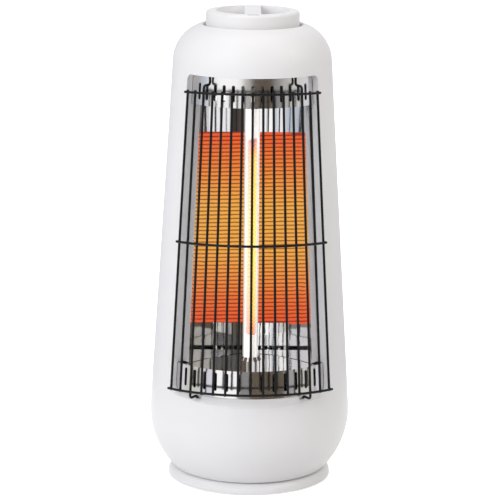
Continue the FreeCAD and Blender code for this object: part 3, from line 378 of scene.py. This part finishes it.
def glowing_carbon():
    """Glow that is amber in the middle, redder towards both ends and dim on the rod."""
    low_red, low_orange, low_amber = (0.72, 0.085, 0.022), (0.74, 0.14, 0.03), (0.78, 0.36, 0.06)
    high_red, high_orange = (0.74, 0.09, 0.022), (0.76, 0.2, 0.034)
    high_amber = (0.78, 0.375, 0.062)
    rod_share, full_share = (0.36, 0.26, 0.2), (1.0, 1.0, 1.0)
    glow_strength = 1.25
    cold_carbon, carbon_roughness = (0.02, 0.012, 0.01, 1.0), 0.7
    material = bpy.data.materials.new("glowing_carbon")
    material.use_nodes = True
    tree = material.node_tree
    shader = tree.nodes["Principled BSDF"]
    place = object_place(tree)
    height = mapped(tree, place["Z"], coil_foot, coil_foot + coil_height)
    ribbon = ramp(tree, height, [(0.0, low_red), (0.12, low_orange), (0.38, low_amber),
                                 (0.62, high_amber), (0.83, high_orange), (1.0, high_red)])
    flat = tree.nodes.new("ShaderNodeCombineXYZ")
    tree.links.new(place["X"], flat.inputs["X"])
    tree.links.new(calculate(tree, "SUBTRACT", place["Y"], lamp_y), flat.inputs["Y"])
    out = tree.nodes.new("ShaderNodeVectorMath")
    out.operation = "LENGTH"
    tree.links.new(flat.outputs["Vector"], out.inputs[0])
    on_ribbon = mapped(tree, out.outputs["Value"], core_radius, coil_radius - ribbon_thickness)
    dimming = ramp(tree, on_ribbon, [(0.0, rod_share), (1.0, full_share)])
    glow = blend(tree, "MULTIPLY", 1.0, ribbon, dimming)
    tree.links.new(glow, shader.inputs["Emission Color"])
    shader.inputs["Emission Strength"].default_value = glow_strength
    shader.inputs["Base Color"].default_value = cold_carbon
    shader.inputs["Roughness"].default_value = carbon_roughness
    return material


ribbon_tree = build_ribbon_tree(glowing_carbon())
filament = made_by("glowing_ribbon", bpy.data.meshes.new("ribbon_start"), ribbon_tree, {
    "Turns": float(coil_turns), "Radius": coil_radius, "Height": coil_height,
    "Ribbon width": ribbon_width, "Ribbon thickness": ribbon_thickness, "Core radius": core_radius,
    "Axis depth": lamp_y, "Foot": coil_foot})
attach(filament, "heater_body")
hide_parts("carbon_filament")
filament.visible_diffuse = False

quartz_with_painted_glow = finish(
    "quartz_with_painted_glow", colour=(0.96, 0.96, 0.96), tone=0.02, patch=30, gloss=0.05,
    gloss_spread=0.03, grain=250, bump=0.02)
quartz_ior, quartz_clearness = 1.458, 0.9
quartz_sheen, sheen_roughness = 0.5, 0.3
tube_radius = 0.0075
painted_strip_left, painted_strip_right = -0.0045, 0.0055
# The tube's emission is painted light: a faint white veil over all of it, a brighter white haze
# down its left half as a painted highlight, and a painted yellow strip with ember-red ends in front
# of the coil, standing in for the glow seen through the glass.
painted_white_veil, painted_white_haze = (0.08, 0.075, 0.07), (0.24, 0.23, 0.225)
painted_yellow, painted_ember = (0.30, 0.24, 0.012), (0.22, 0.10, 0.02)
unlit, part_lit, lit = (0, 0, 0), (0.25, 0.25, 0.25), (1, 1, 1)
quartz_tree = quartz_with_painted_glow.node_tree
quartz_shader = quartz_tree.nodes["Principled BSDF"]
quartz_shader.inputs["Transmission Weight"].default_value = quartz_clearness
quartz_shader.inputs["IOR"].default_value = quartz_ior
quartz_shader.inputs["Emission Strength"].default_value = 1.0
quartz_shader.inputs["Sheen Weight"].default_value = quartz_sheen
quartz_shader.inputs["Sheen Roughness"].default_value = sheen_roughness
quartz_place = object_place(quartz_tree)
up_tube = mapped(quartz_tree, quartz_place["Z"], coil_foot, coil_foot + coil_height)
painted_glow_along_tube = ramp(quartz_tree, up_tube, [
    (0.0, painted_white_veil), (1.0, painted_white_veil), (0.03, painted_ember), (0.12, painted_yellow), (0.9, painted_yellow), (0.965, painted_ember),
    (0.98, painted_white_veil)])
across_strip = mapped(quartz_tree, quartz_place["X"], painted_strip_left, painted_strip_right)
painted_glow_strip = ramp(quartz_tree, across_strip, [
    (0.0, unlit), (1.0, unlit), (0.2, part_lit), (0.45, lit), (0.8, lit)])
across_tube = mapped(quartz_tree, quartz_place["X"], -tube_radius, tube_radius)
painted_veil_across_tube = ramp(quartz_tree, across_tube, [
    (0.0, painted_white_haze), (1.0, painted_white_haze), (0.42, painted_white_haze), (0.52, painted_white_veil), (0.75, painted_white_veil)])
painted_tube_glow = blend(quartz_tree, "MIX", painted_glow_strip, painted_veil_across_tube, painted_glow_along_tube)
quartz_tree.links.new(painted_tube_glow, quartz_shader.inputs["Emission Color"])
wear(quartz_with_painted_glow, "quartz_tube")
lamp_ceramic = finish(
    "lamp_ceramic", colour=(0.80, 0.79, 0.76), tone=0.06, patch=70, gloss=0.55,
    gloss_spread=0.1, grain=1600, bump=0.2)
wear(lamp_ceramic, "lower_holder", "upper_holder")
# The ceramic cores are a paler copy of the holders' ceramic with a faint white glow: painted light
# that stands in for the coil's light falling on them.
ceramic_with_painted_glow = finish(
    "ceramic_with_painted_glow", colour=(0.88, 0.87, 0.85), tone=0.04, patch=70, gloss=0.5,
    gloss_spread=0.1, grain=1600, bump=0.1)
painted_core_glow, painted_core_glow_strength = (1.0, 0.95, 0.91, 1.0), 0.22
painted_glow_shader = ceramic_with_painted_glow.node_tree.nodes["Principled BSDF"]
painted_glow_shader.inputs["Emission Color"].default_value = painted_core_glow
painted_glow_shader.inputs["Emission Strength"].default_value = painted_core_glow_strength
wear(ceramic_with_painted_glow, "filament_plugs")
for node in ("quartz_tube", "filament_plugs"):
    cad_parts[node].visible_glossy = False


# Spring washers pushed over both ends of the tube, stamped from thin steel, browned by the heat.
# Twelve tongues of each washer lean towards the glass and centre the tube in its plate.
washer_low, washer_high = 0.1324, 0.3964
washer_radius = 0.0097
tongues = 12
tongue_size = (0.0034, 0.0046, 0.0005)
tongue_lean = math.radians(58)
tongue_lift = 0.0022


def build_washer_tree(material):
    """Geometry node tree of leaning tongues round the lamp's axis, mirrored for the upper end."""
    tree = bpy.data.node_groups.new("spring_washers", "GeometryNodeTree")
    tree.interface.new_socket("Geometry", in_out="OUTPUT", socket_type="NodeSocketGeometry")
    tree.interface.new_socket("Tongues", in_out="INPUT", socket_type="NodeSocketInt")
    tree.interface.new_socket("Tongue size", in_out="INPUT", socket_type="NodeSocketVector")
    for name in ("Radius", "Lean", "Low", "High", "Axis depth"):
        tree.interface.new_socket(name, in_out="INPUT", socket_type="NodeSocketFloat")
    inputs = tree.nodes.new("NodeGroupInput").outputs
    tongue = tree.nodes.new("GeometryNodeMeshCube")
    tree.links.new(inputs["Tongue size"], tongue.inputs["Size"])
    ring = tree.nodes.new("GeometryNodeMeshCircle")
    tree.links.new(inputs["Tongues"], ring.inputs["Vertices"])
    tree.links.new(inputs["Radius"], ring.inputs["Radius"])
    outward = tree.nodes.new("FunctionNodeAlignEulerToVector")
    outward.axis = "Y"
    outward.pivot_axis = "Z"
    place = tree.nodes.new("GeometryNodeInputPosition")
    tree.links.new(place.outputs["Position"], outward.inputs["Vector"])
    crown = tree.nodes.new("GeometryNodeInstanceOnPoints")
    tree.links.new(ring.outputs["Mesh"], crown.inputs["Points"])
    tree.links.new(tongue.outputs["Mesh"], crown.inputs["Instance"])
    tree.links.new(outward.outputs["Rotation"], crown.inputs["Rotation"])
    lean = tree.nodes.new("ShaderNodeCombineXYZ")
    tree.links.new(inputs["Lean"], lean.inputs["X"])
    ends = tree.nodes.new("GeometryNodeJoinGeometry")
    for name, side in (("Low", -1.0), ("High", 1.0)):
        slope = tree.nodes.new("ShaderNodeVectorMath")
        slope.operation = "SCALE"
        slope.inputs["Scale"].default_value = side
        tree.links.new(lean.outputs["Vector"], slope.inputs[0])
        leaning = tree.nodes.new("GeometryNodeRotateInstances")
        tree.links.new(crown.outputs["Instances"], leaning.inputs["Instances"])
        tree.links.new(slope.outputs["Vector"], leaning.inputs["Rotation"])
        shift = tree.nodes.new("ShaderNodeCombineXYZ")
        tree.links.new(inputs["Axis depth"], shift.inputs["Y"])
        tree.links.new(inputs[name], shift.inputs["Z"])
        placed = tree.nodes.new("GeometryNodeTransform")
        tree.links.new(leaning.outputs["Instances"], placed.inputs["Geometry"])
        tree.links.new(shift.outputs["Vector"], placed.inputs["Translation"])
        tree.links.new(placed.outputs["Geometry"], ends.inputs["Geometry"])
    return close_tree(tree, ends.outputs["Geometry"], material)


browned_steel = finish(
    "browned_steel", colour=(0.20, 0.15, 0.13), tone=0.5, patch=260, gloss=0.4,
    gloss_spread=0.2, grain=900, bump=0.2, metallic=0.8)
washer_tree = build_washer_tree(browned_steel)
washers = made_by("tube_washers", bpy.data.meshes.new("washer_start"), washer_tree, {
    "Tongues": tongues, "Tongue size": tongue_size, "Radius": washer_radius, "Lean": tongue_lean,
    "Low": washer_low + tongue_lift, "High": washer_high - tongue_lift, "Axis depth": lamp_y})
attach(washers, "heater_body")
washers.visible_glossy = False


# Wire guard: fifteen upright wires and three curved rails, spot welded and dip enamelled black.
# Every crossing keeps a small swollen weld under the enamel.
black_enamel = finish(
    "black_enamel", colour=(0.007, 0.007, 0.008), tone=0.4, patch=150, gloss=0.5,
    gloss_spread=0.12, grain=900, bump=0.2)
enamel_shine = 0.25
enamel_shader = black_enamel.node_tree.nodes["Principled BSDF"]
enamel_shader.inputs["Specular IOR Level"].default_value = enamel_shine
wear(black_enamel, "guard_rails", "guard_uprights")

housing_radius, housing_foot = 0.103, 0.076
housing_narrowing, housing_rise = 0.0225, 0.360
housing_taper = housing_narrowing / housing_rise
rail_low, rail_high = 0.1130, 0.4125
guard_reach_low, guard_reach_high = 0.0090, 0.0063
wires, wire_pitch = 15, math.radians(6.65)
weld_radius, weld_depth = 0.0016, 0.0011
least_weld, most_weld, weld_seed = 0.88, 1.12, 7


def wire_radius_at(z):
    """Distance of the upright wires from the axis at a height."""
    share = (z - rail_low) / (rail_high - rail_low)
    reach = guard_reach_low + (guard_reach_high - guard_reach_low) * share
    return housing_radius - housing_taper * (z - housing_foot) + reach


def weld_places():
    """Crossings of the three rails with the upright wires."""
    lean = (wire_radius_at(rail_low) - wire_radius_at(rail_high)) / (rail_high - rail_low)
    places = []
    for front_z in (rail_low, (rail_low + rail_high) / 2, rail_high):
        for i in range(wires):
            turn = (i - (wires - 1) / 2) * wire_pitch
            z = front_z - (1 - math.cos(turn)) * wire_radius_at(front_z) * lean
            r = wire_radius_at(z) + weld_depth
            places.append((r * math.sin(turn), -r * math.cos(turn), z))
    return places


def build_weld_tree(material):
    """Geometry node tree that puts a small lump of uneven size on every point of a mesh."""
    tree = bpy.data.node_groups.new("weld_lumps", "GeometryNodeTree")
    tree.interface.new_socket("Geometry", in_out="INPUT", socket_type="NodeSocketGeometry")
    tree.interface.new_socket("Geometry", in_out="OUTPUT", socket_type="NodeSocketGeometry")
    for name in ("Radius", "Least size", "Most size"):
        tree.interface.new_socket(name, in_out="INPUT", socket_type="NodeSocketFloat")
    tree.interface.new_socket("Seed", in_out="INPUT", socket_type="NodeSocketInt")
    inputs = tree.nodes.new("NodeGroupInput").outputs
    lump_subdivisions = 3
    lump = add(tree, "GeometryNodeMeshIcoSphere", Subdivisions=lump_subdivisions)
    tree.links.new(inputs["Radius"], lump.inputs["Radius"])
    size = tree.nodes.new("FunctionNodeRandomValue")
    tree.links.new(inputs["Least size"], size.inputs[2])
    tree.links.new(inputs["Most size"], size.inputs[3])
    tree.links.new(inputs["Seed"], size.inputs["Seed"])
    lumps = tree.nodes.new("GeometryNodeInstanceOnPoints")
    tree.links.new(inputs["Geometry"], lumps.inputs["Points"])
    tree.links.new(lump.outputs["Mesh"], lumps.inputs["Instance"])
    tree.links.new(size.outputs[1], lumps.inputs["Scale"])
    smooth = add(tree, "GeometryNodeSetShadeSmooth", Shade_Smooth=True)
    tree.links.new(lumps.outputs["Instances"], smooth.inputs["Geometry"])
    return close_tree(tree, smooth.outputs["Geometry"], material)


weld_start = bpy.data.meshes.new("weld_start")
weld_start.from_pydata(weld_places(), [], [])
welds = made_by("guard_welds", weld_start, build_weld_tree(black_enamel), {
    "Radius": weld_radius, "Least size": least_weld, "Most size": most_weld, "Seed": weld_seed})
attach(welds, "heater_body")


# Dial on the top with its grey inlaid mark, on the shaft of a rotary switch under its deck.
# The dial is moulded like the housing, with two finger recesses that leave a bar across it.
dial_moulding = finish(
    "dial_moulding", colour=(0.775, 0.77, 0.785), tone=0.025, patch=14, gloss=0.36,
    gloss_spread=0.06, grain=2600, bump=0.05)
# The inlaid mark is a real grey mark, coloured much darker than its own grey. The dark also stands
# for the shade line below the mark at the dial's front rim, so it is partly painted shade.
pointer_mark_and_painted_shade = finish(
    "pointer_mark_and_painted_shade", colour=(0.2, 0.2, 0.21), tone=0.1, patch=200, gloss=0.3,
    gloss_spread=0.1, grain=1500, bump=0.1)
wear(dial_moulding, "dial")
wear(pointer_mark_and_painted_shade, "dial_pointer")
wear(natural_nylon, "control_deck")
wear(black_moulding, "rotary_switch")
wear(zinc_plate, "switch_nut", "switch_shaft")


# Studio: a white floor that keeps a soft shadow, a round reflection tent and five soft lamps.
# The tent shows only in reflections, so the polished steel has light and dark to mirror.
def plain_object(name, vertices, faces, material):
    """Mesh object of the studio."""
    mesh = bpy.data.meshes.new(name)
    mesh.from_pydata(vertices, [], faces)
    mesh.materials.append(material)
    thing = bpy.data.objects.new(name, mesh)
    bpy.context.scene.collection.objects.link(thing)
    return thing


def seen_directly(tree):
    """Mask of camera, glossy and transmission rays."""
    rays = tree.nodes.new("ShaderNodeLightPath").outputs
    seen = calculate(tree, "MAXIMUM", rays["Is Camera Ray"], rays["Is Glossy Ray"])
    return calculate(tree, "MAXIMUM", seen, rays["Is Transmission Ray"])


def floor_material():
    """White floor: plain light away from the heater, and room for its shadow close by."""
    floor_colour, floor_roughness = (0.8, 0.8, 0.8, 1.0), 0.9
    shadow_inner, shadow_outer = 0.12, 0.7
    near_glow, added_glow = 0.5, 0.5
    material = bpy.data.materials.new("studio_floor")
    material.use_nodes = True
    tree = material.node_tree
    shader = tree.nodes["Principled BSDF"]
    shader.inputs["Base Color"].default_value = floor_colour
    shader.inputs["Roughness"].default_value = floor_roughness
    shader.inputs["Specular IOR Level"].default_value = 0.0
    shader.inputs["Emission Color"].default_value = (1.0, 1.0, 1.0, 1.0)
    place = tree.nodes.new("ShaderNodeVectorMath")
    place.operation = "LENGTH"
    tree.links.new(tree.nodes.new("ShaderNodeTexCoord").outputs["Object"], place.inputs[0])
    away = mapped(tree, place.outputs["Value"], shadow_inner, shadow_outer)
    glow = calculate(tree, "MULTIPLY_ADD", away, added_glow, near_glow)
    strength = calculate(tree, "MULTIPLY", glow, seen_directly(tree))
    tree.links.new(strength, shader.inputs["Emission Strength"])
    return material


floor_reach = 14.0
floor_corners = [(-floor_reach, -floor_reach, 0), (floor_reach, -floor_reach, 0),
                 (floor_reach, floor_reach, 0), (-floor_reach, floor_reach, 0)]
floor = plain_object("studio_floor", floor_corners, [(0, 1, 2, 3)], floor_material())

tent_radius, tent_sides = 0.42, 96
tent_foot, tent_top = 0.001, 1.3


def tent_material():
    """Light and dark upright panels of the tent, by height and by the angle from the front."""
    grey, white, cool = (0.30, 0.29, 0.29), (0.95, 0.95, 0.97), (0.52, 0.58, 0.66)
    pale, half, bright = (0.74, 0.74, 0.80), (0.42, 0.41, 0.41), (1.1, 1.1, 1.1)
    dark, brown, slate = (0.05, 0.045, 0.045), (0.12, 0.095, 0.07), (0.12, 0.117, 0.115)
    middle, olive, sand = (0.26, 0.25, 0.25), (0.15, 0.12, 0.08), (0.66, 0.65, 0.59)
    floor_edge, middle_edge, top_edge = (0.1, 0.2), (0.26, 0.29), (0.33, 0.36)
    material = bpy.data.materials.new("reflection_tent")
    material.use_nodes = True
    tree = material.node_tree
    tree.nodes.remove(tree.nodes["Principled BSDF"])
    place = object_place(tree)
    front = calculate(tree, "MULTIPLY", place["Y"], -1.0)
    angle = calculate(tree, "ARCTAN2", place["X"], front)
    share = mapped(tree, angle, -math.pi, math.pi)

    def at(degrees):
        """Place on a ramp of an angle from the front."""
        return 0.5 + degrees / 360

    floor_panels = ramp(tree, share, [
        (at(-180), pale), (at(180), pale), (at(-88), pale), (at(-80), sand), (at(-62), sand),
        (at(-54), pale), (at(-44), pale), (at(-40), bright), (at(-16), bright), (at(-13), middle),
        (at(-1), middle), (at(1), olive), (at(10), brown), (at(38), brown), (at(42), half),
        (at(46), middle), (at(50), half), (at(62), sand), (at(76), sand), (at(84), half),
        (at(90), pale)])
    low_panels = ramp(tree, share, [
        (at(-180), pale), (at(180), pale), (at(-88), pale), (at(-80), bright), (at(-52), bright),
        (at(-47), cool), (at(-42), bright), (at(-36), bright), (at(-33), grey), (at(-30), bright),
        (at(-17), bright), (at(-14), middle), (at(-10), middle), (at(-9.2), white),
        (at(-6.6), white), (at(-6.2), cool), (at(-5.6), white), (at(-2), white),
        (at(-1), middle), (at(1), olive),
        (at(4.0), olive), (at(4.5), sand), (at(6.0), sand), (at(6.8), half), (at(7.4), sand),
        (at(8.9), sand), (at(9.6), olive), (at(26), slate), (at(74), slate), (at(82), middle),
        (at(90), pale)])
    high_panels = ramp(tree, share, [
        (at(-180), pale), (at(180), pale), (at(-88), pale), (at(-80), cool), (at(-66), cool),
        (at(-58), white), (at(-52), white), (at(-46), cool), (at(-40), bright), (at(-34), bright),
        (at(-31), half), (at(-28), bright), (at(-14), bright), (at(-8.8), white), (at(-8.0), cool),
        (at(-3.0), cool), (at(-1.6), grey), (at(0), dark), (at(4.6), dark), (at(5.1), white),
        (at(5.6), middle), (at(6.1), white), (at(7.0), white), (at(7.3), middle), (at(7.9), white),
        (at(8.8), white), (at(9.8), dark), (at(20), brown), (at(32), dark), (at(42), dark),
        (at(46), white), (at(82), white)])
    top_panels = ramp(tree, share, [
        (at(-180), pale), (at(180), pale), (at(-88), half), (at(-74), cool), (at(-60), white),
        (at(-50), bright), (at(-20), bright), (at(-10), sand), (at(-5), half), (at(2), brown),
        (at(26), brown), (at(33), middle), (at(42), half), (at(60), sand), (at(90), pale)])
    height = place["Z"]
    lower = blend(tree, "MIX", mapped(tree, height, *floor_edge), floor_panels, low_panels)
    upper = blend(tree, "MIX", mapped(tree, height, *top_edge), high_panels, top_panels)
    panels = blend(tree, "MIX", mapped(tree, height, *middle_edge), lower, upper)
    light = tree.nodes.new("ShaderNodeEmission")
    tree.links.new(panels, light.inputs["Color"])
    tree.links.new(light.outputs["Emission"], tree.nodes["Material Output"].inputs["Surface"])
    return material


tent_turns = [2 * math.pi * i / tent_sides for i in range(tent_sides)]
tent_rim = [(tent_radius * math.sin(turn), -tent_radius * math.cos(turn)) for turn in tent_turns]
tent_points = [(x, y, z) for z in (tent_foot, tent_top) for x, y in tent_rim]
tent_walls = [(i, (i + 1) % tent_sides, tent_sides + (i + 1) % tent_sides, tent_sides + i)
              for i in range(tent_sides)]
tent = plain_object("reflection_tent", tent_points, tent_walls, tent_material())
tent.visible_camera = False
tent.visible_diffuse = False
tent.visible_shadow = False
tent.visible_transmission = False


def soft_lamp(name, place, target, size, energy, colour):
    """Square soft box that faces a point."""
    lamp = bpy.data.lights.new(name, "AREA")
    lamp.size = size
    lamp.energy = energy
    lamp.color = colour
    holder = bpy.data.objects.new(name, lamp)
    direction = Vector(target) - Vector(place)
    facing = direction.to_track_quat("-Z", "Y").to_matrix().to_4x4()
    holder.matrix_world = Matrix.Translation(place) @ facing
    holder.visible_glossy = False
    bpy.context.scene.collection.objects.link(holder)


soft_lamp("left_soft_box", place=(-1.7, -1.7, 1.3), target=(0, 0, 0.25),
          size=1.6, energy=39, colour=(0.99, 0.99, 1.0))
soft_lamp("right_soft_box", place=(1.1, -0.42, 1.2), target=(0, 0, 0.3),
          size=0.8, energy=7, colour=(1.0, 0.94, 0.82))
soft_lamp("front_soft_box", place=(0.0, -2.2, 1.1), target=(0, 0, 0.25),
          size=1.2, energy=5, colour=(1.0, 1.0, 1.0))
soft_lamp("rear_soft_box", place=(0.3, 2.2, 1.3), target=(0, 0, 0.25),
          size=1.4, energy=16, colour=(1.0, 1.0, 1.0))
soft_lamp("top_soft_box", place=(-0.2, 0.2, 2.2), target=(0, 0, 0.2),
          size=1.6, energy=11, colour=(1.0, 1.0, 1.0))

air_light, air_seen = 0.35, 1.0
world = bpy.data.worlds.new("studio_air")
bpy.context.scene.world = world
world.use_nodes = True
air = world.node_tree
air_glow = air.nodes["Background"]
air_strength = calculate(air, "MULTIPLY_ADD", seen_directly(air), air_seen - air_light, air_light)
air.links.new(air_strength, air_glow.inputs["Strength"])
air_glow.inputs["Color"].default_value = (1.0, 1.0, 1.0, 1.0)


# Camera: a long lens a few metres in front of the heater, from a little above it.
# It is turned and rolled by about half a degree.
camera_turn = math.radians(-0.47)
camera_place = (-0.0008, -2.45, 0.775)
camera_pitch = math.radians(12.38)
camera_roll = math.radians(0.5)
sensor_width, focal_length = 36.0, 175.4
camera_data = bpy.data.cameras.new("camera")
camera_data.sensor_width = sensor_width
camera_data.lens = focal_length
camera = bpy.data.objects.new("camera", camera_data)
camera.matrix_world = (Matrix.Rotation(camera_turn, 4, "Z") @ Matrix.Translation(camera_place)
                       @ Matrix.Rotation(math.pi / 2 - camera_pitch, 4, "X")
                       @ Matrix.Rotation(camera_roll, 4, "Z"))
bpy.context.scene.collection.objects.link(camera)
bpy.context.scene.camera = camera
bpy.context.scene.view_settings.view_transform = "Standard"
